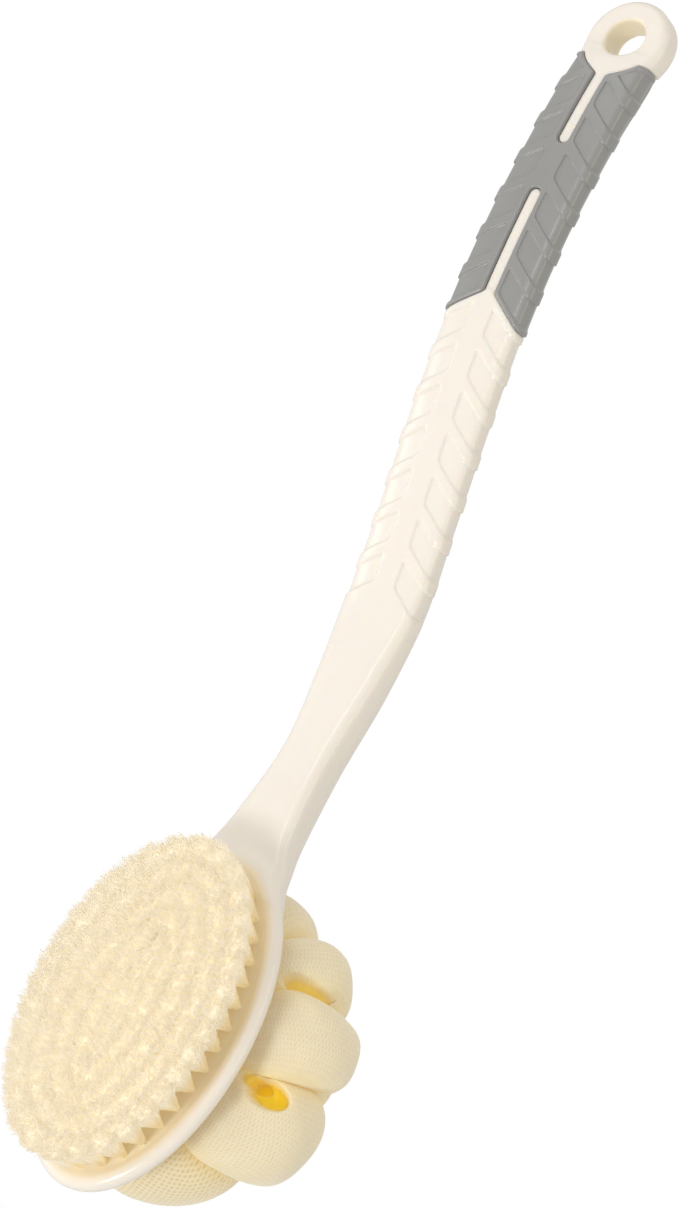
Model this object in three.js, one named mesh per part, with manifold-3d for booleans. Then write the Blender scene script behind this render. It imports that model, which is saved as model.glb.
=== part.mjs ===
// A long-handled back scrubber: an oval bristle brush with a netting pouf tied on its back.
// Millimetres. The scrubber hangs from the eye at the end of its handle: the origin is the centre of
// the eye, +Z is up along the handle, the bristles face -Y, the pouf faces +Y, and X is sideways.
import * as THREE from 'three';
import { mergeVertices } from 'three/addons/utils/BufferGeometryUtils.js';
import Module from 'manifold-3d';

const wasm = await Module();
wasm.setup();

// ---- driving dimensions ------------------------------------------------------------------------
const GAP = 0.3; // clearance left between separate pieces that touch
const DEG = Math.PI / 180;
const SLIVER = 0.02; // the largest change made to tidy up a cut surface
const BEYOND = 60; // past the object on any side, for the ends of cutting prisms
const roundSides = 32; // sides of the eye and its hole
const smallSides = 24; // and of smaller turned parts

// The eye is a disc; its edge goes down by these steps: how far in from the rim, how far from the face.
const eye = { hole: 6.1, outer: 13.2, thick: 9.6, tilt: 6, edge: [[1.6, 0], [0.4, 0.7], [0, 2]] };

// The handle, from the head up to the eye: height, centre line y, half width, depth in front of the
// centre line and depth behind it.
const handleStations = [
  { z: -265, y: -1.5, width: 17.6, front: 4.3, back: 5.2 },
  { z: -259, y: -0.6, width: 14.0, front: 4.9, back: 7.0 },
  { z: -248, y: 1.4, width: 10.6, front: 6.2, back: 9.4 },
  { z: -225, y: 5.9, width: 8.3, front: 6.6, back: 9.3 },
  { z: -200, y: 7.7, width: 10.4, front: 6.5, back: 9.1 },
  { z: -175, y: 6.6, width: 12.7, front: 5.2, back: 7.7 },
  { z: -150, y: 2.4, width: 12.9, front: 4.7, back: 6.9 },
  { z: -120, y: -3.6, width: 13.0, front: 4.8, back: 7.0 },
  { z: -90, y: -7.8, width: 12.9, front: 4.6, back: 6.6 },
  { z: -60, y: -8.7, width: 12.8, front: 4.4, back: 6.3 },
  { z: -30, y: -6.3, width: 12.6, front: 4.7, back: 6.6 },
  { z: -10, y: -3.0, width: 12.8, front: 4.9, back: 7.4 },
  { z: -3, y: -0.9, width: 12.0, front: 4.2, back: 5.4 },
];
const handleSections = 26;
const sectionPoints = 16;
const frontSquareness = 4; // superellipse power of the flat front half of the section
const backSquareness = 2.6; // and of its rounder back half

const head = { z: -310, y: -8.8, tilt: 6.55, long: 52.4, short: 32 };
// Rings of the head plate from the middle of its face over the rim to the middle of its back: how far
// in from the widest outline, and how high above it on the bristle side.
const facePlate = [[5.8, 1.7], [4.2, 2.1], [2.6, 2.8], [1.2, 2.2], [0.3, 1.1]];
const backPlate = [[0, 0], [0.4, -2.2], [2.4, -4.8], [6, -6.4], [14, -7.3]];
const plateBack = { height: -7.6, long: 18, short: 8 }; // the flat middle of its back
const plateSegments = 44;
// What the neck leaves free over the face: from how far below the rim's crest to how far above it, and
// how much wider it is there.
const faceFree = { below: 1.4, above: 8, flare: 0.4 };
// The mushroom peg on its back: radius and height of each step from its root to its top.
const pegProfile = [[0, -6.5], [4, -6.5], [4, -11.2], [6.5, -11.7], [6.5, -12.8], [5.3, -13.6], [0, -13.6]];

const grip = {
  proud: 0.45, // how far the rubber stands above the plastic round it
  wall: 1.5,
  topRadius: 12, // the rubber stops on a circle round the eye
  shoulder: -7, // and outside that circle on a level line
  bottom: -83.5, // where its two lower edges meet on the middle line
  slope: 36.5, // how steeply those edges, and every rib, fall away from the middle
  slitHalf: 2,
  slits: [{ top: -8, bottom: -36.6 }, { top: -51.5, bottom: -90 }],
  slitFloor: -5, // the slits cut only the front wall, to this y
  ribBelow: 0.3, // the plastic fills the slits to this much below the face of the bare handle
  widest: 30, // wider than the handle anywhere
};
// Sunk panels between slanting ribs, on both sides of the middle line: the first panel's lower inner
// corner, the distance to the next one, and how far from the middle line a panel starts and stops.
const panel = { corner: -22.7, pitch: 12.4, inner: 3.7, outer: 14, tall: 8.4, deep: 0.6, behind: 3.6 };
const gripPanels = { first: 0, count: 6 };
const shaftPanels = { first: 6, count: 7 };

const bristle = {
  rings: 4, // rings of tufts round one straight row
  tufts: [34, 29, 24, 18],
  rowTufts: 7,
  rootFrom: 2.0, // height of the roots above the rim's widest outline
  bandFrom: 10, // height at which neighbouring tufts have spread into one another
  tip: 19,
  crown: 1.6, // how much higher the tips are in the middle
  rootLong: 48, rootShort: 26.5, rootPitch: 6,
  tipLong: 49.7, tipShort: 32.1, tipPitch: 7.13,
  rootRadius: 1.15, rowRootRadius: 1.03,
  topRadius: 2.6, rowTopRadius: 1.25, // of a tuft where it joins the band
  tuftSides: 6,
  ringSegments: [40, 34, 28, 22], rowSegments: 16,
  rowEnd: 5, // how far the row stops short of the innermost ring's roots
};

const pouf = {
  mid: -24.5, // height of the fullest part of the outer folds
  // edges between the outer folds, in degrees round the head plate from +X towards the handle
  edges: [-112, -43, 3, 38, 68, 99, 128, 156, 187, 218, 248],
  reach: [0.92, 1.05, 1.05, 1.03, 1.02, 1.02, 1, 1, 1, 0.95], // of each outer fold, as a share of outerFold
  innerMid: -46.5,
  innerFolds: 6,
  foldPoints: 10, // round a fold's section
  foldSquareness: 0.8, // power of that section, 1 being an ellipse
  tipPower: 6, // how suddenly a fold narrows towards its tip
  tipLeft: 1.012, // keeps the last section from closing to a point
};
// The gathered middle of the netting: radius and distance behind the head plate's outline.
const coreProfile = [[0, 14.4], [7.35, 14.4], [10.5, 18], [10.5, 32], [7.9, 36.5], [0, 37.6]];
// An outer fold from its gathered end to its tip: distance from the middle and half depth.
const outerFold = [[13, 8], [19, 11.5], [27, 14.3], [35, 15.2], [42, 13.8], [47, 9.8], [50.3, 3.2]];
const innerFold = [[3, 4.4], [9, 6.2], [17, 6.6], [25, 6], [31, 4], [33.5, 1.5]];

const cinch = {
  height: -9.35, radius: 5.9, cord: 1.2, sides: 8, steps: 18,
  knot: 2.3, knotSides: 10, knotRows: 8,
  knotShape: [1, 0.62, 1.25], // pressed flat along the peg and drawn long round it
};

// ---- helpers -----------------------------------------------------------------------------------
/** A closed solid through a list of rings with the same number of points, capped at both ends. */
function loft(rings) {
  const count = rings[0].length;
  const points = rings.flat();
  const index = [];
  for (let ring = 0; ring < rings.length - 1; ring++) {
    for (let i = 0; i < count; i++) {
      const a = ring * count + i;
      const b = ring * count + ((i + 1) % count);
      index.push(a, b, b + count, a, b + count, a + count);
    }
  }
  const last = (rings.length - 1) * count;
  for (let i = 1; i < count - 1; i++) {
    index.push(0, i + 1, i);
    index.push(last, last + i, last + i + 1);
  }
  const geometry = new THREE.BufferGeometry().setFromPoints(points);
  geometry.setIndex(index);
  return geometry;
}

/** A ring-shaped solid through closed loops of points: the last loop joins the first again. */
function loftRound(loops) {
  const count = loops[0].length;
  const index = [];
  loops.forEach((loop, ring) => {
    const next = (ring + 1) % loops.length;
    for (let i = 0; i < count; i++) {
      const j = (i + 1) % count;
      index.push(ring * count + i, ring * count + j, next * count + j);
      index.push(ring * count + i, next * count + j, next * count + i);
    }
  });
  const geometry = new THREE.BufferGeometry().setFromPoints(loops.flat());
  geometry.setIndex(index);
  return geometry;
}

/** The manifold-3d solid of a closed three.js geometry, turned right side out if it isn't. */
function solid(geometry) {
  const bare = geometry.clone();
  bare.deleteAttribute('normal');
  bare.deleteAttribute('uv');
  const merged = mergeVertices(bare, 1e-4);
  const triVerts = new Uint32Array(merged.index.array);
  const vertProperties = new Float32Array(merged.attributes.position.array);
  const made = new wasm.Manifold(new wasm.Mesh({ numProp: 3, vertProperties, triVerts }));
  if (made.volume() > 0) return made;
  for (let i = 0; i < triVerts.length; i += 3) {
    [triVerts[i], triVerts[i + 1]] = [triVerts[i + 1], triVerts[i]];
  }
  return new wasm.Manifold(new wasm.Mesh({ numProp: 3, vertProperties, triVerts }));
}

/** A three.js geometry of a manifold-3d solid, without the slivers that cutting leaves. */
function geometryOf(made) {
  const mesh = made.asOriginal().simplify(SLIVER).getMesh();
  const geometry = new THREE.BufferGeometry();
  geometry.setAttribute('position', new THREE.BufferAttribute(new Float32Array(mesh.vertProperties), 3));
  geometry.setIndex(new THREE.BufferAttribute(new Uint32Array(mesh.triVerts), 1));
  return geometry;
}

/** A prism along Y over an outline of [x, z] points. */
function prism(outline, near = -BEYOND, far = BEYOND) {
  const shape = new THREE.Shape(outline.map(([x, z]) => new THREE.Vector2(x, z)));
  const geometry = new THREE.ExtrudeGeometry(shape, { depth: far - near, bevelEnabled: false });
  return solid(geometry.rotateX(Math.PI / 2).translate(0, far, 0));
}

/** Points of an ellipse with half axes along (towards the handle) and across, at a height. */
function ellipse(along, across, height, count) {
  return Array.from({ length: count }, (_, i) => {
    const turn = (i / count) * 2 * Math.PI;
    return new THREE.Vector3(across * Math.cos(turn), -height, along * Math.sin(turn));
  });
}

/** Places evenly spaced by arc length round an ellipse, as angles of its parameter. */
function evenTurns(along, across, count) {
  const steps = 720;
  const at = (turn) => new THREE.Vector2(across * Math.cos(turn), along * Math.sin(turn));
  const lengths = [0];
  for (let i = 1; i <= steps; i++) {
    const piece = at((i / steps) * 2 * Math.PI).distanceTo(at(((i - 1) / steps) * 2 * Math.PI));
    lengths.push(lengths[i - 1] + piece);
  }
  return Array.from({ length: count }, (_, i) => {
    const wanted = ((i + 0.5) / count) * lengths[steps];
    return (lengths.findIndex((length) => length >= wanted) / steps) * 2 * Math.PI;
  });
}

// ---- handle ------------------------------------------------------------------------------------
const centreLine = new THREE.CatmullRomCurve3(
  handleStations.map((s) => new THREE.Vector3(0, s.y, s.z)), false, 'catmullrom', 0.5);
const sizeLine = new THREE.CatmullRomCurve3(
  handleStations.map((s) => new THREE.Vector3(s.width, s.front, s.back)), false, 'catmullrom', 0.5);

/** One section of the handle at t along it, grown outwards by extra. */
function handleSection(t, extra) {
  const centre = centreLine.getPoint(t);
  const size = sizeLine.getPoint(t);
  const along = centreLine.getTangent(t);
  const backwards = new THREE.Vector3(0, along.z, -along.y);
  return Array.from({ length: sectionPoints }, (_, i) => {
    const turn = (i / sectionPoints) * 2 * Math.PI;
    const [cos, sin] = [Math.cos(turn), Math.sin(turn)];
    const power = 2 / (sin < 0 ? frontSquareness : backSquareness);
    const depth = (sin < 0 ? size.y : size.z) + extra;
    const x = (size.x + extra) * Math.sign(cos) * Math.abs(cos) ** power;
    const y = depth * Math.sign(sin) * Math.abs(sin) ** power;
    return centre.clone().addScaledVector(backwards, y).add(new THREE.Vector3(x, 0, 0));
  });
}

/** The handle's whole outer form, grown outwards by extra. */
function shaft(extra = 0) {
  const rings = Array.from({ length: handleSections + 1 },
    (_, i) => handleSection(i / handleSections, extra));
  return solid(loft(rings));
}

/** A rounded disc about the eye, with its axis along the eye's hole. */
function eyeDisc() {
  const half = eye.thick / 2;
  const lower = eye.edge.map(([inset, drop]) => [eye.outer - inset, drop - half]);
  const upper = [...eye.edge].reverse().map(([inset, drop]) => [eye.outer - inset, half - drop]);
  const profile = [[0, -half], ...lower, ...upper, [0, half]].map(([r, h]) => new THREE.Vector2(r, h));
  return solid(new THREE.LatheGeometry(profile, roundSides).rotateX(-eye.tilt * DEG));
}

function eyeHole() {
  const geometry = new THREE.CylinderGeometry(eye.hole, eye.hole, 4 * eye.thick, roundSides);
  return solid(geometry.rotateX(-eye.tilt * DEG));
}

/** Puts a solid made in the head plate's own frame, with its face towards -Y, where the head is. */
function onHead(geometry) {
  return geometry.rotateX(-head.tilt * DEG).translate(0, head.y, head.z);
}

function headPlate() {
  const ring = ([inset, height]) =>
    ellipse(head.long - inset, head.short - inset, height, plateSegments);
  const backCentre = ellipse(plateBack.long, plateBack.short, plateBack.height, plateSegments);
  return solid(onHead(loft([...facePlate.map(ring), ...backPlate.map(ring), backCentre])));
}

/** The space above the head plate's face that the neck must leave free. */
function faceSpace() {
  const [inset, height] = facePlate[2];
  const ring = (grow, h) => ellipse(head.long - inset + grow, head.short - inset + grow, h, plateSegments);
  const rings = [ring(0, height - faceFree.below), ring(faceFree.flare, height + faceFree.above)];
  return solid(onHead(loft(rings)));
}

/** The mushroom peg on the head plate's back, which the pouf is tied round. */
function tiePeg() {
  const profile = pegProfile.map(([r, h]) => new THREE.Vector2(r, -h));
  return solid(onHead(new THREE.LatheGeometry(profile, smallSides)));
}

// ---- grip --------------------------------------------------------------------------------------
/** The region of the handle that the rubber covers, as a prism, shrunk by inset all round. */
function gripRegion(inset) {
  const fall = Math.tan(grip.slope * DEG);
  const side = grip.widest;
  const top = grip.shoulder - inset;
  const radius = grip.topRadius + inset;
  const arc = [];
  for (let degrees = 180; degrees <= 360; degrees += 15) {
    arc.push([radius * Math.cos(degrees * DEG), radius * Math.sin(degrees * DEG)]);
  }
  const bottom = grip.bottom + inset / Math.cos(grip.slope * DEG);
  return prism([
    [-side, top], ...arc.filter(([, z]) => z < top), [side, top],
    [side, bottom - side * fall], [0, bottom], [-side, bottom - side * fall],
  ]);
}

/** A slot with round ends down the middle of the grip's front. */
function slit({ top, bottom }, half) {
  const outline = [];
  for (let degrees = 0; degrees <= 180; degrees += 45) {
    outline.push([half * Math.cos(degrees * DEG), top - half + half * Math.sin(degrees * DEG)]);
  }
  for (let degrees = 180; degrees <= 360; degrees += 45) {
    outline.push([half * Math.cos(degrees * DEG), bottom + half + half * Math.sin(degrees * DEG)]);
  }
  return prism(outline, -BEYOND, grip.slitFloor);
}

/** The centre line's y at a height. */
function centreY(z) {
  return centreLine.getPoints(300).find((point) => point.z >= z).y;
}

/** Sunk panels, numbered down the handle from first, down to a floor surface. */
function sunkPanels({ first, count }, floorForm) {
  const drop = (panel.outer - panel.inner) * Math.tan(grip.slope * DEG);
  let all;
  for (let i = first; i < first + count; i++) {
    const low = panel.corner - i * panel.pitch;
    const high = low + panel.tall;
    const outline = [
      [panel.inner, low], [panel.inner, high], [panel.outer, high - drop], [panel.outer, low - drop],
    ];
    const mirrored = outline.map(([x, z]) => [-x, z]);
    for (const side of [outline, mirrored]) {
      const one = prism(side, -BEYOND, centreY(low - drop / 2) + panel.behind);
      all = all ? all.add(one) : one;
    }
  }
  return all.subtract(floorForm);
}

function gripSleeve() {
  let sleeve = shaft(grip.proud).intersect(gripRegion(GAP)).subtract(shaft(GAP - grip.wall));
  for (const one of grip.slits) sleeve = sleeve.subtract(slit(one, grip.slitHalf));
  return geometryOf(sleeve.subtract(sunkPanels(gripPanels, shaft(grip.proud - panel.deep))));
}

function handleBody() {
  const rubberSpace = gripRegion(0).subtract(shaft(-grip.wall));
  const slitRibs = grip.slits.map((one) => shaft(-grip.ribBelow).intersect(slit(one, grip.slitHalf - GAP)));
  const bare = shaft().add(eyeDisc()).subtract(rubberSpace);
  const grippable = slitRibs.reduce((made, rib) => made.add(rib), bare);
  const patterned = grippable.subtract(sunkPanels(shaftPanels, shaft(-panel.deep)));
  const whole = patterned.subtract(faceSpace()).add(headPlate()).add(tiePeg());
  return geometryOf(whole.subtract(eyeHole()));
}

// ---- bristles ----------------------------------------------------------------------------------
const ringGap = 1.5 * GAP; // between the spread bands of neighbouring rings

/** Half axes of the edge between tuft rings, edge 0 being the outermost, part way up the bristles. */
function tuftEdge(edge, up) {
  const root = [bristle.rootLong - bristle.rootPitch * edge, bristle.rootShort - bristle.rootPitch * edge];
  const tip = [bristle.tipLong - bristle.tipPitch * edge, bristle.tipShort - bristle.tipPitch * edge];
  return root.map((value, i) => value + (tip[i] - value) * up);
}

function heightShare(height) {
  return (height - bristle.rootFrom) / (bristle.tip - bristle.rootFrom);
}

/** One tuft: narrow where it is planted, spreading upwards. */
function tuft(from, to, rootRadius, topRadius) {
  const ring = (centre, radius) => Array.from({ length: bristle.tuftSides }, (_, i) => {
    const turn = (i / bristle.tuftSides) * 2 * Math.PI;
    return new THREE.Vector3(radius * Math.cos(turn), 0, radius * Math.sin(turn)).add(centre);
  });
  return solid(onHead(loft([ring(from, rootRadius), ring(to, topRadius)])));
}

/** The points of a tuft's axis at its root and just inside the spread band. */
function tuftAxis(edge, turn) {
  const bandTop = bristle.bandFrom + 1;
  const at = (share, height) => {
    const [along, across] = tuftEdge(edge, share);
    return new THREE.Vector3(across * Math.cos(turn), -height, along * Math.sin(turn));
  };
  return [at(0, bristle.rootFrom), at(heightShare(bandTop), bandTop)];
}

function tuftRing(ring) {
  const low = heightShare(bristle.bandFrom);
  const tipHeight = (edge) => bristle.tip + bristle.crown * (edge / (bristle.rings + 1));
  const edgeLoop = (edge, grow, share, height) => {
    const [along, across] = tuftEdge(edge, share);
    return ellipse(along + grow, across + grow, height, bristle.ringSegments[ring]);
  };
  const half = ringGap / 2;
  const band = solid(onHead(loftRound([
    edgeLoop(ring, -half, low, bristle.bandFrom), edgeLoop(ring, -half, 1, tipHeight(ring)),
    edgeLoop(ring + 1, half, 1, tipHeight(ring + 1)), edgeLoop(ring + 1, half, low, bristle.bandFrom),
  ])));
  const [along, across] = tuftEdge(ring + 0.5, 0);
  return geometryOf(evenTurns(along, across, bristle.tufts[ring]).reduce((made, turn) => {
    const [from, to] = tuftAxis(ring + 0.5, turn);
    return made.add(tuft(from, to, bristle.rootRadius, bristle.topRadius));
  }, band));
}

/** The straight row of tufts in the middle. */
function tuftRow() {
  const low = heightShare(bristle.bandFrom);
  const [lowLong, lowShort] = tuftEdge(bristle.rings, low);
  const [tipLong, tipShort] = tuftEdge(bristle.rings, 1);
  const half = ringGap / 2;
  let made = solid(onHead(loft([
    ellipse(lowLong - half, lowShort - half, bristle.bandFrom, bristle.rowSegments),
    ellipse(tipLong - half, tipShort - half, bristle.tip + bristle.crown, bristle.rowSegments),
  ])));
  const reach = bristle.rootLong - bristle.rings * bristle.rootPitch - bristle.rowEnd;
  for (let i = 0; i < bristle.rowTufts; i++) {
    const along = reach * (2 * (i / (bristle.rowTufts - 1)) - 1);
    const from = new THREE.Vector3(0, -bristle.rootFrom, along);
    const to = new THREE.Vector3(0, -bristle.bandFrom - 1, along);
    made = made.add(tuft(from, to, bristle.rowRootRadius, bristle.rowTopRadius));
  }
  return geometryOf(made);
}

// ---- pouf --------------------------------------------------------------------------------------
/** A fold of netting: a soft wedge between two angles, following [distance, half depth] pairs. */
function fold(fromDegrees, toDegrees, profile, mid) {
  const points = pouf.foldPoints;
  const middle = ((fromDegrees + toDegrees) / 2) * DEG;
  const halfAngle = ((toDegrees - fromDegrees) / 2) * DEG;
  const outwards = new THREE.Vector3(Math.cos(middle), 0, Math.sin(middle));
  const sideways = new THREE.Vector3(-Math.sin(middle), 0, Math.cos(middle));
  const tip = profile[profile.length - 1][0];
  const rings = profile.map(([distance, depth]) => {
    const rounding = Math.sqrt(1 - (distance / (tip * pouf.tipLeft)) ** pouf.tipPower);
    const width = (distance * Math.tan(halfAngle) - 2 * GAP) * rounding;
    return Array.from({ length: points }, (_, i) => {
      const turn = (i / points) * 2 * Math.PI;
      const across = Math.sign(Math.cos(turn)) * Math.abs(Math.cos(turn)) ** pouf.foldSquareness;
      const up = Math.sign(Math.sin(turn)) * Math.abs(Math.sin(turn)) ** pouf.foldSquareness;
      return outwards.clone().multiplyScalar(distance)
        .addScaledVector(sideways, width * across)
        .add(new THREE.Vector3(0, -mid + depth * up, 0));
    });
  });
  return geometryOf(solid(onHead(loft(rings))));
}

/** The gathered middle of the netting, behind the peg's flange. */
function poufCore() {
  const profile = coreProfile.map(([x, y]) => new THREE.Vector2(x, y));
  return geometryOf(solid(onHead(new THREE.LatheGeometry(profile, smallSides))));
}

/** The cord drawn tight round the peg, under its flange. */
function cinchCord() {
  const ring = new THREE.TorusGeometry(cinch.radius, cinch.cord, cinch.sides, cinch.steps);
  return geometryOf(solid(onHead(ring.rotateX(Math.PI / 2).translate(0, -cinch.height, 0))));
}

/** The knot beside the cord ring, flattened where it lies against the cord. */
function cinchKnot() {
  const away = cinch.radius + cinch.cord + GAP + cinch.knot;
  const ball = new THREE.SphereGeometry(cinch.knot, cinch.knotSides, cinch.knotRows);
  return geometryOf(solid(onHead(ball.scale(...cinch.knotShape).translate(away, -cinch.height, 0))));
}

// ---- assembly ----------------------------------------------------------------------------------
const ivory = new THREE.MeshStandardMaterial({ color: 0xf3eadf, roughness: 0.25, metalness: 0 });
const grey = new THREE.MeshStandardMaterial({ color: 0x8f928c, roughness: 0.6, metalness: 0 });
const cream = new THREE.MeshStandardMaterial({ color: 0xfbefcb, roughness: 0.8, metalness: 0 });
const netting = new THREE.MeshStandardMaterial({ color: 0xf0e3b4, roughness: 0.9, metalness: 0 });
const cordWhite = new THREE.MeshStandardMaterial({ color: 0xf2e8c4, roughness: 0.8, metalness: 0 });

const group = new THREE.Group();

function place(name, geometry, material) {
  const mesh = new THREE.Mesh(geometry, material.clone());
  mesh.name = name;
  group.add(mesh);
}

place('handle', handleBody(), ivory);
place('grip_sleeve', gripSleeve(), grey);
for (let ring = 0; ring < bristle.rings; ring++) place(`tuft_ring_${ring + 1}`, tuftRing(ring), cream);
place('tuft_row_middle', tuftRow(), cream);
for (let i = 0; i < pouf.edges.length - 1; i++) {
  const profile = outerFold.map(([distance, depth]) => [distance * pouf.reach[i], depth]);
  place(`pouf_fold_${i + 1}`, fold(pouf.edges[i], pouf.edges[i + 1], profile, pouf.mid), netting);
}
for (let i = 0; i < pouf.innerFolds; i++) {
  const step = 360 / pouf.innerFolds;
  place(`pouf_inner_fold_${i + 1}`, fold(i * step, (i + 1) * step, innerFold, pouf.innerMid), netting);
}
place('pouf_core', poufCore(), netting);
place('cinch_cord', cinchCord(), cordWhite);
place('cinch_knot', cinchKnot(), cordWhite);

export default group;
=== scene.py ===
"""The looks of a long-handled back scrubber: moulded handle, rubber grip, crimped bristles and a
netting pouf. Shapes are in millimetres in the CAD frame, and mesh_piece turns them into metres. The
floor and the lights are in metres."""
import functools
import math

import bpy
import numpy as np
from mathutils import Matrix, Vector


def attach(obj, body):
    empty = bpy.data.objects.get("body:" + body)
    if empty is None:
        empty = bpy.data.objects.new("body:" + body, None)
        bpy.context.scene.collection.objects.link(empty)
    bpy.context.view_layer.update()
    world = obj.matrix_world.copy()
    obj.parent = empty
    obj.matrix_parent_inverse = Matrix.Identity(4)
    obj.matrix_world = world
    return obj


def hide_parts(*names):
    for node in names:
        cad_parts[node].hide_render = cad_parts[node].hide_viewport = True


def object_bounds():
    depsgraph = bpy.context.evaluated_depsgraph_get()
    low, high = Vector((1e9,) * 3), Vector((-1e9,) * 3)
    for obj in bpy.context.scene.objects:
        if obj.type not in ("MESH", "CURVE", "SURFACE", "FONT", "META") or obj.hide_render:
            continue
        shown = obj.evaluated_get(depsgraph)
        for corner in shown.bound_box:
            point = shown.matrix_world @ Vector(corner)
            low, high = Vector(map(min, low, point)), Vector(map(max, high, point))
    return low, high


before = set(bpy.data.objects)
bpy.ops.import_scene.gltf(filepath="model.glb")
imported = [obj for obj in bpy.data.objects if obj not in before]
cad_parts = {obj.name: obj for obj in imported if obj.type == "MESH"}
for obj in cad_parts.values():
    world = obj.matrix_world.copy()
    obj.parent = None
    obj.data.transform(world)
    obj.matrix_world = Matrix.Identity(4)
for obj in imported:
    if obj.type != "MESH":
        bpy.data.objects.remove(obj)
cad_low, cad_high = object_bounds()

MM = 0.001
SEED = 7
DEG = math.pi / 180

# ---- driving dimensions -------------------------------------------------------------------------
# The handle, the head and the grip have the CAD source's sizes, except that the handle's two ends are
# a little slimmer, to run smoothly into the head's rim and the eye. The folds of the pouf differ more
# from one another than the CAD's plain ones.
GAP = 0.3  # left between pieces that touch

# Handle stations: height, centre line y, half width, depth before the centre line, depth behind it.
HANDLE = np.array([
    (-266, -1.7, 15.6, 4.2, 4.4), (-259, -0.6, 14.0, 4.9, 7.0), (-248, 1.4, 10.6, 6.2, 9.4),
    (-225, 5.9, 8.3, 6.6, 9.3), (-200, 7.7, 10.4, 6.5, 9.1), (-175, 6.6, 12.7, 5.2, 7.7),
    (-150, 2.4, 12.9, 4.7, 6.9), (-120, -3.6, 13.0, 4.8, 7.0), (-90, -7.8, 12.9, 4.6, 6.6),
    (-60, -8.7, 12.8, 4.4, 6.3), (-30, -6.3, 12.6, 4.7, 6.6), (-10, -3.0, 12.3, 4.9, 7.4),
    (-3, -0.9, 11.8, 3.6, 5.4), (4, 0.2, 11.0, 2.4, 3.8)], float)
FRONT_POWER, BACK_POWER = 4, 2.6  # superellipse powers of the section's flat front and rounder back
EYE_HOLE, EYE_OUTER, EYE_THICK, EYE_TILT, EYE_ROUND = 6.1, 13.2, 9.6, 6, 2.7

HEAD_Z, HEAD_Y, HEAD_TILT = -310, -8.8, 6.55
HEAD_LONG, HEAD_SHORT = 52.4, 32
RIM_RADIUS, RIM_HEIGHT = 2.6, 0.2  # the bead round the plate, just inside its outline
FACE_HEIGHT, BACK_HEIGHT = 1.7, -7.6
FREE_HEIGHT = 1.4  # the neck is cut away over the face from here up
BACK_RISE, BACK_CURVE = 4.4, 5  # how far the back comes up to the rim, and over what distance
STEM_RADIUS, STEM_MID, STEM_HALF = 4, -9, 3  # the mushroom peg's stem
FLANGE_RADIUS, FLANGE_MID, FLANGE_HALF = 6.5, -12.6, 1  # and its head

GRIP_PROUD, GRIP_WALL, GRIP_SEAM = 0.45, 1.5, 0.12  # the seam is the gap round the rubber's edge
GRIP_TOP_RADIUS, GRIP_SHOULDER, GRIP_BOTTOM, GRIP_SLOPE = 12, -7, -83.5, 36.5
SLIT_HALF = 2
SLITS = ((-8, -36.6), (-51.5, -90))
PANEL_CORNER, PANEL_PITCH, PANEL_INNER, PANEL_TALL, PANEL_DEEP = -22.7, 12.4, 3.7, 8.4, 0.6
GRIP_PANELS, SHAFT_PANELS = (-1, 5), (6, 12)  # numbers of the first and the last panel
HANDLE_BOX = (-34, -24, -364), (34, 20, 15)  # opposite corners of boxes just outside the two pieces
GRIP_BOX = (-14.5, -19, -96), (14.5, 9, -5)

TUFTS = (34, 29, 24, 18)  # in each oval ring, from the outside in
ROW_TUFTS, ROW_END = 7, 5
ROOT_HEIGHT, MEET_HEIGHT, TIP_HEIGHT, TIP_CROWN = 2.0, 11.5, 19, 1.6
# Half axes of the outermost edge between rings, at the roots and at the tips, and the rings' pitch.
ROOT_LONG, ROOT_SHORT, ROOT_PITCH = 48, 26.5, 6
TIP_LONG, TIP_SHORT, TIP_PITCH = 49.7, 32.1, 7.13
CONE_HEIGHTS = (0.9, 2.4, 4, 5.6, 7.2, 8.8, 10.4, 12, 14, 16, 17.2)
STRAND_START = 15.2  # height, inside the packed bristles, at which the loose tips start

STRANDS_PER_MM2 = 4.2

# Edges between the outer folds: degrees round the head at mid height, and their swing at the front.
FOLD_EDGES = (
    (-112, 0), (-40, -10), (4.5, -3.5), (37, 6), (67, 2), (99, 0), (128, 0), (156, 0), (187, 0),
    (218, 0), (248, 0))
# How far each fold reaches at its first edge and at its second, as a share of the section below.
FOLD_REACH = (
    (0.90, 0.91), (1.05, 0.96), (0.99, 1.0), (0.99, 0.995), (1.01, 1.0), (1.02, 1.0), (1, 0.97),
    (0.98, 1.02), (1, 0.97), (0.94, 0.91))
# A fold from its gathered end to its tip: distance from the middle and half depth.
OUTER_FOLD = (
    (9, 4.5), (13, 8), (19, 11.5), (27, 14.3), (35, 15.2), (42, 13.8), (47, 9.8), (49.6, 5.2), (50.3, 0))
INNER_FOLD = ((3, 2.6), (5, 4.6), (9, 6.2), (17, 6.6), (25, 6), (31, 4), (33, 1.9), (33.5, 0))
FOLD_MID, INNER_MID, INNER_FOLDS = -24.5, -46.5, 6
# Hollows in the fronts of two outer folds, by the fold's number: sideways and upwards place, half length,
# half width, tilt, depth, and how yellow it is inside, a painted bounce light.
POCKETS = {
    1: ((36, -4.4, 8, 4.6, -12, 7, 1), (29.5, -2.8, 5, 2.4, -8, 2.5, 0.8)),
    3: ((28.5, 27.2, 6.5, 2.8, 8, 4, 0.7),)}
STRETCHED_FOLD = 0  # the one whose net is pulled open
NET_SCALE, STRETCHED_SCALE = (1, 0.85), (0.62, 1.15)  # of the knitted pattern, out and round a fold
# The netting's gathered middle, from its far end to the plate: radius and height.
GATHER = (
    (0.4, -37.5), (3, -37.4), (8.0, -36), (10.2, -31), (10.2, -24), (9.5, -18), (6.5, -14.8), (2, -14.6))
NET_LAYERS, NET_LENGTH = 2, 3  # of each length of netting: its layers, and its length over its width

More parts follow.
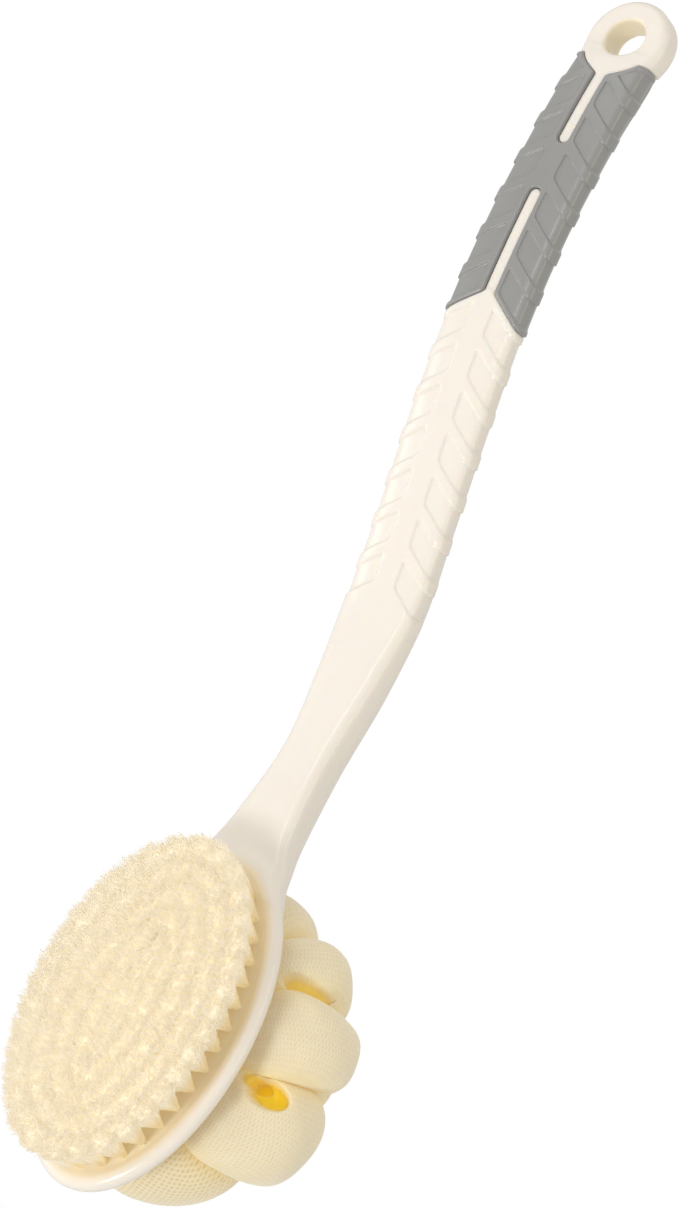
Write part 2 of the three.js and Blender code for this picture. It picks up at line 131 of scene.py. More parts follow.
CINCH_HEIGHT, CINCH_RADIUS, CINCH_CORD, CINCH_KNOT = -9.35, 5.9, 1.2, 2.3
KNOT_STRAND = 0.62  # radius of the knot's own strand
KNOT_SHAPE = (0.52, 0.72, 0.62)  # its size from the peg outwards, round the peg and along it


# ---- helpers ------------------------------------------------------------------------------------
def smooth_min(a, b, k):
    """The lower of two distances, rounded over a width k where they meet."""
    h = np.maximum(k - np.abs(a - b), 0) / k
    return np.minimum(a, b) - h * h * k / 4


def smooth_max(a, b, k):
    """The higher of two distances, rounded in the same way."""
    return -smooth_min(-a, -b, k)


def smooth_step(low, high, x):
    """A soft step from 0 at low to 1 at high."""
    t = np.clip((x - low) / (high - low), 0, 1)
    return t * t * (3 - 2 * t)


def catmull_rom(points, per_span):
    """Points on the uniform Catmull-Rom curve through the given rows."""
    ends = np.vstack([2 * points[0] - points[1], points, 2 * points[-1] - points[-2]])
    made = []
    for i in range(1, len(ends) - 2):
        a, b, c, d = ends[i - 1:i + 3]
        t = np.linspace(0, 1, per_span, endpoint=False)[:, None]
        made.append(b + t * (c - a) / 2 + t ** 2 * (a - 2.5 * b + 2 * c - d / 2)
                    + t ** 3 * (1.5 * (b - c) + (d - a) / 2))
    return np.vstack([*made, points[-1:]])


def full_turn(count):
    """Angles evenly spaced round a full turn."""
    return np.arange(count) / count * 2 * math.pi


HEAD_OUT = np.array([0, -math.cos(HEAD_TILT * DEG), math.sin(HEAD_TILT * DEG)])
HEAD_UP = np.array([0, math.sin(HEAD_TILT * DEG), math.cos(HEAD_TILT * DEG)])
HEAD_AT = np.array([0, HEAD_Y, HEAD_Z], float)


def from_head(x, up, out):
    """Points in the CAD frame of places on the head: sideways, towards the handle and towards the
    bristles."""
    return HEAD_AT + np.multiply.outer(x, [1.0, 0, 0]) + np.multiply.outer(up, HEAD_UP) \
        + np.multiply.outer(out, HEAD_OUT)


def to_head(p):
    """The places on the head of points in the CAD frame."""
    rel = p - HEAD_AT
    return rel[:, 0], rel @ HEAD_UP, rel @ HEAD_OUT


def tube_faces(strands, rows, sides):
    """Quads of many open tubes whose points run strand by strand, row by row."""
    s, r, k = np.meshgrid(np.arange(strands), np.arange(rows - 1), np.arange(sides), indexing="ij")
    here = (s * rows + r) * sides
    after = (k + 1) % sides
    return np.stack([here + k, here + after, here + sides + after, here + sides + k], -1).reshape(-1, 4)


def ring_faces(rows, columns):
    """Quads of a tube that closes on itself both ways, whose points run row by row."""
    i, k = np.meshgrid(np.arange(rows), np.arange(columns), indexing="ij")
    here, after = i * columns, (i + 1) % rows * columns
    beside = (k + 1) % columns
    return np.stack([here + k, here + beside, after + beside, after + k], -1).reshape(-1, 4)


def mesh_piece(name, points, faces, material, body, replaced=()):
    """A smooth-shaded mesh from points in millimetres, riding on a body and standing for CAD nodes.
    A face is four points, or three with the last one twice."""
    faces = np.asarray(faces, np.int32)
    corners = np.where(faces[:, 2] == faces[:, 3], 3, 4)
    loops = faces[np.arange(4) < corners[:, None]]
    mesh = bpy.data.meshes.new(name)
    mesh.vertices.add(len(points))
    mesh.vertices.foreach_set("co", (np.asarray(points) * MM).astype(np.float32).ravel())
    mesh.loops.add(len(loops))
    mesh.loops.foreach_set("vertex_index", loops)
    mesh.polygons.add(len(faces))
    starts = np.concatenate([[0], np.cumsum(corners)[:-1]])
    mesh.polygons.foreach_set("loop_start", starts.astype(np.int32))
    mesh.update(calc_edges=True)
    mesh.shade_smooth()
    mesh.materials.append(material)
    piece = bpy.data.objects.new(name, mesh)
    bpy.context.scene.collection.objects.link(piece)
    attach(piece, body)
    if replaced:
        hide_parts(*replaced)
    return piece


def point_values(piece, name, values):
    """A number at each point of a mesh, for its material to read."""
    layer = piece.data.attributes.new(name, "FLOAT", "POINT")
    layer.data.foreach_set("value", np.asarray(values, np.float32).ravel())


def face_map(piece, coordinates):
    """A UV map from one pair of numbers at each point."""
    layer = piece.data.uv_layers.new(name="UVMap")
    loops = np.zeros(len(piece.data.loops), np.int32)
    piece.data.loops.foreach_get("vertex_index", loops)
    layer.data.foreach_set("uv", np.asarray(coordinates, np.float32)[loops].ravel())


# ---- surfaces from distance fields --------------------------------------------------------------
def field_on_grid(field, low, count, cell):
    """The field's values on a grid, worked out only near the surface and guessed elsewhere."""
    step = 4
    blocks = [-(-n // step) for n in count]
    along = [(np.arange(b) + 0.5) * step * cell for b in blocks]
    middles = np.stack(np.meshgrid(*along, indexing="ij"), -1)
    rough = field(middles.reshape(-1, 3) + low).reshape(blocks)
    near = np.abs(rough) < step * cell * 1.25
    whole = np.where(rough < 0, -1e3, 1e3).astype(np.float32)
    for axis in range(3):
        whole = np.repeat(whole, step, axis)
        near = np.repeat(near, step, axis)
    whole = np.ascontiguousarray(whole[:count[0], :count[1], :count[2]])
    at = np.argwhere(near[:count[0], :count[1], :count[2]])
    whole[tuple(at.T)] = field(at * cell + low)
    return whole


def surface_net(field, low, high, cell, polish=3):
    """Points and quads of the surface where a distance field is zero, by surface nets."""
    low = np.array(low, float)
    count = np.ceil((np.array(high, float) - low) / cell).astype(int) + 1
    value = field_on_grid(field, low, count, cell)
    inside = value < 0
    corners = [(i, j, k) for i in (0, 1) for j in (0, 1) for k in (0, 1)]
    tally = sum(inside[i:count[0] - 1 + i, j:count[1] - 1 + j, k:count[2] - 1 + k].astype(np.int8)
                for i, j, k in corners)
    cells = np.argwhere((tally > 0) & (tally < 8))
    number = np.full(tally.shape, -1, np.int32)
    number[tuple(cells.T)] = np.arange(len(cells))
    middle, crossings = np.zeros((len(cells), 3)), np.zeros((len(cells), 1))
    for a in corners:
        for axis in range(3):
            if a[axis]:
                continue
            b = tuple(1 if n == axis else a[n] for n in range(3))
            va = value[tuple((cells + a).T)]
            vb = value[tuple((cells + b).T)]
            cut = ((va < 0) != (vb < 0))
            share = np.where(cut, va / np.where(cut, va - vb, 1), 0)
            middle += np.where(cut[:, None], np.array(a) + share[:, None] * (np.array(b) - a), 0)
            crossings += cut[:, None]
    points = low + (cells + middle / crossings) * cell
    quads = []
    for axis in range(3):
        u, v = (axis + 1) % 3, (axis + 2) % 3
        ahead = np.moveaxis(inside, axis, 0)
        at = np.argwhere(ahead[:-1] != ahead[1:])
        at = np.insert(at[:, 1:], axis, at[:, 0], axis=1)
        at = at[(at[:, u] > 0) & (at[:, v] > 0)]
        one, other = np.eye(3, dtype=int)[u], np.eye(3, dtype=int)[v]
        ring = [number[tuple((at - s).T)] for s in (one + other, other, 0 * one, one)]
        quad = np.stack(ring, 1)
        leaving = inside[tuple(at.T)]
        quads.append(np.where(leaving[:, None], quad, quad[:, ::-1]))
    for _ in range(polish):
        points -= pulled_in(field, points, cell)
    return points, np.vstack(quads)


def slope_of(field, points, reach):
    """The field's slope at each point, from its values a little to each side."""
    return np.stack([(field(points + reach * e) - field(points - reach * e)) / (2 * reach)
                     for e in np.eye(3)], 1)


def pulled_in(field, points, cell):
    """The step from each point to the surface, at most part of a cell."""
    slope = slope_of(field, points, 0.04)
    step = (field(points) / np.maximum((slope ** 2).sum(1), 0.09))[:, None] * slope
    length = np.linalg.norm(step, axis=1, keepdims=True)
    return step * np.minimum(1, 0.4 * cell / np.maximum(length, 1e-9))


# ---- handle and grip ----------------------------------------------------------------------------
line = catmull_rom(HANDLE, 80)
line_slope = np.gradient(line[:, 1], line[:, 0])


def on_line(column, z):
    """A column of the handle's smoothed stations at a height."""
    return np.interp(z, line[:, 0], column)


def shaft_field(p, grow=0.0):
    """Distance from the handle's bar, grown outwards by grow, the height along its centre line and
    the depth behind that line."""
    x, y, z = p.T
    at = z
    for _ in range(2):
        at = z + (y - on_line(line[:, 1], at)) * on_line(line_slope, at)
    slope = on_line(line_slope, at)
    v = (y - on_line(line[:, 1], at)) * np.sqrt(1 + slope ** 2)
    width = on_line(line[:, 2], at) + grow
    front = v < 0
    depth = np.where(front, on_line(line[:, 3], at), on_line(line[:, 4], at)) + grow
    power = np.where(front, FRONT_POWER, BACK_POWER)
    a, b = np.abs(x) / width, np.abs(v) / depth
    g = np.maximum(a ** power + b ** power, 1e-9) ** (1 / power)
    steep = np.hypot((a / g) ** (power - 1) / width, (b / g) ** (power - 1) / depth)
    d = (g - 1) / steep
    return np.maximum(d, np.maximum(at - line[-1, 0], line[0, 0] - at)), at, v


def rounded_box(a, b, r):
    """Distance from a rounded corner region where both a and b are negative."""
    return np.hypot(np.maximum(a + r, 0), np.maximum(b + r, 0)) + np.minimum(np.maximum(a, b) + r, 0) - r


def panel_edge(x, z, panels):
    """Signed distance in the front view from the nearest slanting panel, negative inside."""
    fall = math.tan(GRIP_SLOPE * DEG)
    along = z + (np.abs(x) - PANEL_INNER) * fall - (PANEL_CORNER + PANEL_TALL / 2)
    number = np.clip(np.round(-along / PANEL_PITCH), *panels)
    across = (np.abs(along + number * PANEL_PITCH) - PANEL_TALL / 2) * math.cos(GRIP_SLOPE * DEG)
    return rounded_box(PANEL_INNER - np.abs(x), across, 0.9)


def panel_relief(x, z, v, panels, soft):
    """How deep the panels lie under the ribs, fading out where they wrap round the sides."""
    inside = smooth_step(soft, -soft, panel_edge(x, z, panels))
    return PANEL_DEEP * inside * smooth_step(5.2, 3.2, v)


def grip_outline(x, z):
    """Signed distance in the front view from the rubber's outline without its slits, negative inside."""
    round_eye = GRIP_TOP_RADIUS + 1.1 * np.exp(-(x / 3.5) ** 2) - np.hypot(x, z)
    top = np.maximum(round_eye, z - GRIP_SHOULDER)
    low = (GRIP_BOTTOM - np.abs(x) * math.tan(GRIP_SLOPE * DEG) - z) * math.cos(GRIP_SLOPE * DEG)
    return smooth_max(top, low, 1.0)


def slit_outline(x, z):
    """Signed distance in the front view from the nearer slit, negative inside."""
    found = np.full(x.shape, 1e3)
    for top, bottom in SLITS:
        nearest = np.clip(z, bottom + SLIT_HALF, top - SLIT_HALF)
        found = np.minimum(found, np.hypot(x, z - nearest) - SLIT_HALF)
    return found


def grip_field(p):
    """The rubber sleeve: ribs over sunk panels, a plain border and two slits through its front."""
    x, _, z = p.T
    outer, _, v = shaft_field(p, GRIP_PROUD)
    inner = shaft_field(p, -GRIP_WALL + GAP)[0]
    outline = grip_outline(x, z) + GRIP_SEAM
    border = smooth_step(1.1, 1.7, -outline)
    outer += panel_relief(x, z, v, GRIP_PANELS, 0.2) * border
    front = smooth_step(0, 1.5, v) * 9
    region = smooth_max(outline, -(slit_outline(x, z) + front), 0.9)
    return np.maximum(smooth_max(outer, region, 0.8), -inner)


def eye_field(p):
    """The rounded ring round the hanging hole, and the hole itself."""
    x, y, z = p.T
    along = y * math.cos(EYE_TILT * DEG) - z * math.sin(EYE_TILT * DEG)
    up = y * math.sin(EYE_TILT * DEG) + z * math.cos(EYE_TILT * DEG)
    r = np.hypot(x, up)
    disc = rounded_box(r - EYE_OUTER, np.abs(along) - EYE_THICK / 2, EYE_ROUND)
    return disc, r - EYE_HOLE


def plate_field(p):
    """The oval head plate, with a rounded rim, a flat face, a domed back and a peg on it, and the
    space over the face that the neck leaves free."""
    x, up, out = to_head(p)
    e = np.hypot(x / HEAD_SHORT, up / HEAD_LONG)
    steep = np.hypot(x / HEAD_SHORT ** 2, up / HEAD_LONG ** 2) / np.maximum(e, 1e-6)
    edge = (e - 1) / np.maximum(steep, 1e-3)
    rim = np.hypot(edge + RIM_RADIUS, out - RIM_HEIGHT) - RIM_RADIUS
    back = BACK_HEIGHT + BACK_RISE * np.exp(np.minimum(edge, 2) / BACK_CURVE)
    dish = smooth_max(smooth_max(out - FACE_HEIGHT, (back - out) * 0.85, 2), edge + 1.2, 3)
    face = np.maximum(edge + RIM_RADIUS, FREE_HEIGHT - out)
    r = np.hypot(x, up)
    stem = np.maximum(r - STEM_RADIUS, np.abs(out - STEM_MID) - STEM_HALF)
    flange = rounded_box(r - FLANGE_RADIUS, np.abs(out - FLANGE_MID) - FLANGE_HALF, 0.5)
    peg = smooth_min(stem, flange, 0.8)
    return smooth_min(smooth_min(rim, dish, 1.6), peg, 1.2), face


def handle_field(p):
    """The whole ivory moulding."""
    x, _, z = p.T
    bar, _, v = shaft_field(p)
    core = shaft_field(p, -GRIP_WALL)[0]
    disc, hole = eye_field(p)
    patterned = bar + panel_relief(x, z, v, SHAFT_PANELS, 0.3)
    outside = smooth_max(smooth_min(patterned, disc, 2.5), -grip_outline(x, z), 0.7)
    rib = smooth_max(bar + GRIP_PROUD, np.maximum(slit_outline(x, z) + 0.2, v), 0.5)
    upper = smooth_max(smooth_min(smooth_min(core, outside, 1.4), rib, 0.5), -hole, 1.3)
    plate, face = plate_field(p)
    neck = smooth_max(upper, -face, 2.4)
    return smooth_min(neck, plate, 5)


# ---- materials ----------------------------------------------------------------------------------
def new_material(name):
    """A node material, its nodes and links, and its shader."""
    material = bpy.data.materials.new(name)
    material.use_nodes = True
    nodes, links = material.node_tree.nodes, material.node_tree.links
    return material, nodes, links, nodes["Principled BSDF"]


def filled(node, **settings):
    """The node, with its inputs or its own settings set by name. An underscore in the name of an
    input stands for a space."""
    for key, value in settings.items():
        socket = node.inputs.get(key.replace("_", " "))
        if socket is None:
            setattr(node, key, value)
        else:
            socket.default_value = value
    return node


def add_node(nodes, kind, **settings):
    return filled(nodes.new(kind), **settings)


def mixed(nodes, links, share, first, second):
    """A colour between two, by a share from 0 to 1."""
    mix = nodes.new("ShaderNodeMix")
    mix.data_type = "RGBA"
    links.new(share, mix.inputs["Factor"])
    for socket, value in ((mix.inputs[6], first), (mix.inputs[7], second)):
        if isinstance(value, tuple):
            socket.default_value = (*value, 1)
        else:
            links.new(value, socket)
    return mix.outputs[2]


def bumped(nodes, links, shader, height, strength, distance):
    """A fine relief on a shader."""
    bump = add_node(nodes, "ShaderNodeBump", Strength=strength, Distance=distance)
    links.new(height, bump.inputs["Height"])
    links.new(bump.outputs["Normal"], shader.inputs["Normal"])


def noise(nodes, links, scale, detail=3.0):
    """A cloudy value from 0 to 1 all through the object."""
    texture = add_node(nodes, "ShaderNodeTexNoise", Scale=scale, Detail=detail)
    place = add_node(nodes, "ShaderNodeTexCoord").outputs["Object"]
    links.new(place, texture.inputs["Vector"])
    return texture.outputs["Fac"]


def ranged(nodes, links, value, low, high, to_low, to_high):
    """A value carried from one range over to another."""
    node = add_node(nodes, "ShaderNodeMapRange", From_Min=low, From_Max=high, To_Min=to_low,
                    To_Max=to_high)
    links.new(value, node.inputs["Value"])
    return node.outputs["Result"]


def painted_bounce_share(p):
    """Where painted bounce light goes into the ivory's colour: how much of the light on a place has been
    bounced about in a hollow, 1 in the eye's hole and 0.9 on the face among the bristles."""
    x, up, out = to_head(p)
    e = np.hypot(x / (HEAD_SHORT - 4), up / (HEAD_LONG - 4))
    bed = smooth_step(1.08, 0.95, e) * smooth_step(0, 1.2, out) * 0.9
    hole = smooth_step(0.9, 0.1, np.abs(eye_field(p)[1]))
    return np.maximum(bed, hole)


def ivory_plastic():
    """Glossy ivory plastic with a faint mould texture and slight waves in its polish, and painted bounce
    light of deeper beige in the eye's hole and on the face among the bristles.
    """
    material, nodes, links, shader = new_material("ivory_plastic")
    cloud = noise(nodes, links, 25)
    painted_bounce = add_node(nodes, "ShaderNodeAttribute", attribute_name="painted_bounce").outputs["Fac"]
    body = mixed(nodes, links, cloud, (0.880, 0.822, 0.745), (0.892, 0.838, 0.765))
    # painted bounce light: the colour turns deeper beige in the hollows
    links.new(mixed(nodes, links, painted_bounce, body, (0.90, 0.82, 0.64)), shader.inputs["Base Color"])
    polish = ranged(nodes, links, noise(nodes, links, 350), 0.3, 0.7, 0.15, 0.20)
    links.new(polish, shader.inputs["Roughness"])
    filled(shader, Subsurface_Weight=0.35, Subsurface_Radius=(1.0, 0.72, 0.42),
           Subsurface_Scale=0.0022)
    bumped(nodes, links, shader, noise(nodes, links, 2600, 2.0), 0.03, 0.0001)
    return material


def grey_rubber():
    """Grey rubber with a fine grain and a thin shiny skin."""
    material, nodes, links, shader = new_material("grey_rubber")
    cloud = noise(nodes, links, 140)
    grey = mixed(nodes, links, cloud, (0.272, 0.272, 0.264), (0.302, 0.302, 0.293))
    links.new(grey, shader.inputs["Base Color"])
    grain = ranged(nodes, links, noise(nodes, links, 900), 0.3, 0.7, 0.28, 0.36)
    links.new(grain, shader.inputs["Roughness"])
    filled(shader, Specular_IOR_Level=0.8, Coat_Weight=0.35, Coat_Roughness=0.18)
    bumped(nodes, links, shader, noise(nodes, links, 5200, 2.0), 0.06, 0.0001)
    return material


def bristle_fibre():
    """Crimped cream filament, each strand a little different, with painted shade of deeper yellow towards
    the root and pale at the tip. A weak glow stands for the light that thin fibres pass on to one
    another."""
    material, nodes, links, shader = new_material("bristle_fibre")
    height = add_node(nodes, "ShaderNodeAttribute", attribute_name="height")
    tint = add_node(nodes, "ShaderNodeAttribute", attribute_name="tint")
    pale = mixed(nodes, links, tint.outputs["Fac"], (0.960, 0.870, 0.680), (0.985, 0.940, 0.840))
    share = ranged(nodes, links, height.outputs["Fac"], 0.0, 0.95, 0.0, 1.0)
    # painted shade: deeper yellow towards the roots, pale at the tips
    colour = mixed(nodes, links, share, (0.93, 0.77, 0.44), pale)
    links.new(colour, shader.inputs["Base Color"])
    links.new(colour, shader.inputs["Emission Color"])
    filled(shader, Emission_Strength=0.165)
    streaks = noise(nodes, links, 1500, 2.0)
    links.new(ranged(nodes, links, streaks, 0.3, 0.7, 0.42, 0.58), shader.inputs["Roughness"])
    bumped(nodes, links, shader, streaks, 0.3, 0.0002)
    return material


def netting():
    """Knitted netting: rows of slanting loops, opener where the net is stretched, with painted shade and
    bounce light of deep yellow in its folds and hollows. A weak glow stands for the light that passes
    through its layers."""
    material, nodes, links, shader = new_material("netting")
    place = add_node(nodes, "ShaderNodeUVMap", uv_map="UVMap").outputs["UV"]
    deep = add_node(nodes, "ShaderNodeAttribute", attribute_name="deep").outputs["Fac"]
    open_share = add_node(nodes, "ShaderNodeAttribute", attribute_name="stretched").outputs["Fac"]
    strands = []
    for slant in (1, -1):
        mapping = add_node(nodes, "ShaderNodeMapping", Rotation=(0, 0, slant * 24 * DEG))
        links.new(place, mapping.inputs["Vector"])
        wave = add_node(nodes, "ShaderNodeTexWave", Scale=0.31, Distortion=1.6, Detail=1.0,
                        Detail_Scale=1.2)
        links.new(mapping.outputs["Vector"], wave.inputs["Vector"])
        strands.append(wave.outputs["Fac"])
    knit = add_node(nodes, "ShaderNodeMath", operation="MAXIMUM")
    links.new(strands[0], knit.inputs[0])
    links.new(strands[1], knit.inputs[1])
    gaps = ranged(nodes, links, knit.outputs[0], 0.35, 0.85, 0.0, 1.0)
    cloud = noise(nodes, links, 45)
    thread = mixed(nodes, links, cloud, (0.640, 0.580, 0.435), (0.660, 0.600, 0.465))
    between = mixed(nodes, links, open_share, (0.575, 0.510, 0.350), (0.540, 0.430, 0.220))
    cloth = mixed(nodes, links, gaps, between, thread)
    # painted shade and bounce light: deep yellow where folds, creases and hollows lie deep
    links.new(mixed(nodes, links, deep, cloth, (0.84, 0.62, 0.02)), shader.inputs["Base Color"])
    glow = mixed(nodes, links, deep, (0.58, 0.47, 0.29), (0.50, 0.32, 0.01))
    links.new(glow, shader.inputs["Emission Color"])
    filled(shader, Emission_Strength=0.35, Roughness=0.75, Sheen_Weight=0.4, Sheen_Roughness=0.5,
           Subsurface_Weight=0.6, Subsurface_Radius=(1.0, 0.85, 0.4), Subsurface_Scale=0.006)
    bumped(nodes, links, shader, gaps, 0.35, 0.0002)
    return material


def twisted_cord():
    """The tie cord: two-ply twist in off-white nylon."""
    material, nodes, links, shader = new_material("twisted_cord")
    place = add_node(nodes, "ShaderNodeUVMap", uv_map="UVMap").outputs["UV"]
    mapping = add_node(nodes, "ShaderNodeMapping", Rotation=(0, 0, 40 * DEG))
    links.new(place, mapping.inputs["Vector"])
    wave = add_node(nodes, "ShaderNodeTexWave", Scale=0.4, Distortion=0.4)
    links.new(mapping.outputs["Vector"], wave.inputs["Vector"])
    plies = mixed(nodes, links, wave.outputs["Fac"], (0.66, 0.55, 0.33), (0.90, 0.84, 0.66))
    links.new(plies, shader.inputs["Base Color"])
    filled(shader, Roughness=0.6)
    bumped(nodes, links, shader, wave.outputs["Fac"], 0.8, 0.0003)
    return material


# ---- bristles -----------------------------------------------------------------------------------
def tuft_edge(edge, up):
    """Half axes of the edge between tuft rings, part way up the bristles."""
    long = (ROOT_LONG - ROOT_PITCH * edge) * (1 - up) + (TIP_LONG - TIP_PITCH * edge) * up
    short = (ROOT_SHORT - ROOT_PITCH * edge) * (1 - up) + (TIP_SHORT - TIP_PITCH * edge) * up
    return long, short


def even_turns(long, short, count):
    """Places evenly spaced by arc length round an ellipse, as angles of its parameter."""
    turn = np.linspace(0, 2 * math.pi, 721)
    at = np.stack([short * np.cos(turn), long * np.sin(turn)], 1)
    run = np.concatenate([[0], np.cumsum(np.linalg.norm(np.diff(at, axis=0), axis=1))])
    return np.interp((np.arange(count) + 0.9) / count * run[-1], run, turn)


class Strands:
    """Collects the tubes of one bristle piece, with a height share for each point, which sets its painted
    shade, and the tint of each point.
    """

    def __init__(self):
        self.points, self.faces, self.height, self.tint, self.total = [], [], [], [], 0

    def add(self, points, quads, height, tint):
        self.points.append(points)
        self.faces.append(quads + self.total)
        self.height.append(height)
        self.tint.append(tint)
        self.total += len(points)


def share_of(height):
    """How far up the bristles a height is, from 0 at the roots to 1 at the outer tips."""
    return (height - ROOT_HEIGHT) / (TIP_HEIGHT - ROOT_HEIGHT)


def on_ring(edge, turn, height):
    """Sideways and upwards places on the oval of a tuft edge at a height."""
    long, short = tuft_edge(edge, share_of(height))
    return short * np.cos(turn), long * np.sin(turn)


def tuft_span(height, wide):
    """Half width along the ring and half depth across it of a tuft that meets its neighbours part
    way up."""
    share = np.clip((height - ROOT_HEIGHT) / (MEET_HEIGHT - ROOT_HEIGHT), 0, 1)
    half_width = 1.1 + (wide - 1.1) * share + 0.1 * np.maximum(height - MEET_HEIGHT, 0)
    return half_width, 1.5 + 2.1 * share


def tuft_centre(edge, turn, height):
    """A tuft's axis, which leans outwards more and more towards the tips."""
    share = np.clip(share_of(height), 0, 1) ** 2.2
    long, short = tuft_edge(edge, share)
    return short * np.cos(turn), long * np.sin(turn)


def on_tuft(centre, along, height, turn, wide):
    """Sideways and upwards places on a tuft's surface. A turn of 0 is along the ring, and 90 degrees
    is outwards."""
    span, deep = tuft_span(height, wide)
    side, depth = span * np.cos(turn), deep * np.sin(turn)
    x0, up0 = centre(height)
    return x0 + side * along[0] + depth * along[1], up0 + side * along[1] - depth * along[0]


def tuft_cone(made, centre, along, random, wide):
    """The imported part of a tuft: a ribbed cone, narrow at its root, as wide as its neighbours let it
    be."""
    height = np.array(CONE_HEIGHTS)[:, None]
    rows, sides = len(height), 24
    turn = -full_turn(sides)  # backwards, so that the faces look outwards
    x, up = on_tuft(centre, along, height, turn, wide)
    ribs = 0.07 * random.standard_normal(sides) * np.minimum(height / 6, 1)
    x0, up0 = (value.mean(1, keepdims=True) for value in (x, up))
    x, up = x0 + (x - x0) * (1 + ribs), up0 + (up - up0) * (1 + ribs)
    points = from_head(x.ravel(), up.ravel(), (height + 0 * turn).ravel())
    cap = from_head(x[-1].mean(keepdims=True), up[-1].mean(keepdims=True), height[-1] + 0.5)
    top = (rows - 1) * sides + np.arange(sides)
    last = np.full(sides, rows * sides)
    fan = np.stack([top, np.roll(top, -1), last, last], 1)
    # painted shade, darker towards the root of the cone
    shade = np.repeat(0.25 + 0.8 * share_of(height.ravel()), sides)
    made.add(np.vstack([points, cap]), np.vstack([tube_faces(1, rows, sides), fan]),
             np.append(shade, 0.8), 0.35 + 0.3 * random.random(rows * sides + 1))


def lumps(x, up):
    """Small uneven heights of the packed bristles, the same for neighbouring rings."""
    return 0.45 * np.sin(1.7 * x + 0.6 * up) * np.sin(1.5 * up - 0.9 * x + 1) \
        + 0.3 * np.sin(2.9 * x - 1.3 * up + 2) * np.sin(2.6 * up + 1.1 * x)


def ring_bed(made, number):
    """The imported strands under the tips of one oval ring: a band with a lumpy top."""
    turn = full_turn(TUFTS[number] * 10)
    inset = 0.42 if number == 0 else 0.02
    profile = ((inset, 13), (inset, 16.8), (0.5, 17.1), (0.98, 17.1), (0.98, 13))
    edge, height = (np.array(c)[:, None] for c in zip(*profile))
    x, up = on_ring(number + edge, turn, height)
    out = height + TIP_CROWN * (number + edge) / 5 + lumps(x, up) * (height > 16)
    points = from_head(x.ravel(), up.ravel(), out.ravel())
    tint = 0.4 + 0.3 * np.sin(3 * x + 2 * up).ravel()
    made.add(points, ring_faces(len(profile), len(turn)), np.full(len(points), 0.62), tint)


def filaments(made, starts, ends, random, thick=0.115, rows=7, waves=(0.9, 1.9), bows=(0.15, 0.42)):
    """Crimped three-sided strands from starts to ends, both rows of sideways, upwards and outwards."""
    many, sides = len(starts), 3
    up = np.linspace(0, 1, rows)[None, :, None]
    path = starts[:, None] * (1 - up) + ends[:, None] * up
    bow = random.uniform(*bows, (many, 1, 1))
    phase = random.uniform(0, 2 * math.pi, (many, 1, 2))
    turns = random.uniform(*waves, (many, 1, 2))
    crimp = bow * np.sin(phase + turns * 2 * math.pi * up) * np.minimum(1, up * 3)
    path = path + np.concatenate([crimp, np.zeros((many, rows, 1))], 2)
    turn = full_turn(sides) + phase[..., :1]
    narrow = thick * np.linspace(1.0, 0.75, rows)[None, :, None]
    x = path[..., 0, None] + narrow * np.cos(turn)
    z = path[..., 1, None] + narrow * np.sin(turn)
    out = np.repeat(path[..., 2, None], sides, 2)
    points = from_head(x.ravel(), z.ravel(), out.ravel())
    tint = np.repeat(random.random(many), rows * sides)
    # the height share sets the painted shade, deeper towards the roots
    made.add(points, tube_faces(many, rows, sides), np.clip(share_of(out.ravel()), 0, 1), tint)


def clumped(x, up, random):
    """Tips drawn part of the way to the nearest of many scattered clump middles, and the clump's lift."""
    cell, table, pull = 2.2, 61, 0.4
    shift = random.uniform(0.2, 0.8, (table, table, 3))
    i, k = np.floor(x / cell).astype(int), np.floor(up / cell).astype(int)
    own = shift[i % table, k % table]
    drawn_x = x + pull * ((i + own[:, 0]) * cell - x)
    drawn_up = up + pull * ((k + own[:, 1]) * cell - up)
    return drawn_x, drawn_up, own[:, 2] - 0.5


def tip_strands(made, edges, count, random):
    """Crimped ends that stand on the bed between two tuft edges."""
    turn = random.uniform(0, 2 * math.pi, 2 * count)
    long, short = tuft_edge(edges[0] + 0.5, 1)
    kept = random.random(2 * count) * long < long * np.cos(turn) ** 2 + short * np.sin(turn) ** 2
    turn = turn[kept][:count]
    count = len(turn)
    edge = edges[0] + (edges[1] - edges[0]) * random.random(count)
    high = TIP_HEIGHT + TIP_CROWN * np.clip(edge, 0, 5) / 5
    x, up = on_ring(edge, turn, high)
    low_x, low_up = on_ring(edges[0] + 0.12 + 0.76 * (edge - edges[0]), turn, STRAND_START)
    x, up, lift = clumped(x, up, random)
    high = high + 0.9 * lift + random.normal(0, 0.3, count)
    lean = random.normal(0, 0.5, (count, 2))
    starts = np.stack([low_x, low_up, np.full(count, STRAND_START)], 1)
    filaments(made, starts, np.stack([x + lean[:, 0], up + lean[:, 1], high], 1), random)


def wall_strands(made, centre, along, count, random, wide):
    """Strands that run up the outer half of an outermost tuft, from its root to the tips."""
    turn = random.uniform(0.02, 0.98, count) * math.pi
    low = random.uniform(1.6, 9, count)
    high = TIP_HEIGHT + random.normal(-0.1, 0.35, count)
    ends_at = turn + random.normal(0, 0.12, count)
    starts = np.stack([*on_tuft(centre, along, low, turn, wide), low], 1)
    ends = np.stack([*on_tuft(centre, along, high, ends_at, wide), high], 1)
    starts[:, :2] += random.normal(0, 0.05, (count, 2))
    ends[:, :2] += random.normal(0, 0.35, (count, 2))
    filaments(made, starts, ends, random, thick=0.085, rows=12, waves=(1.5, 4.0), bows=(0.04, 0.2))


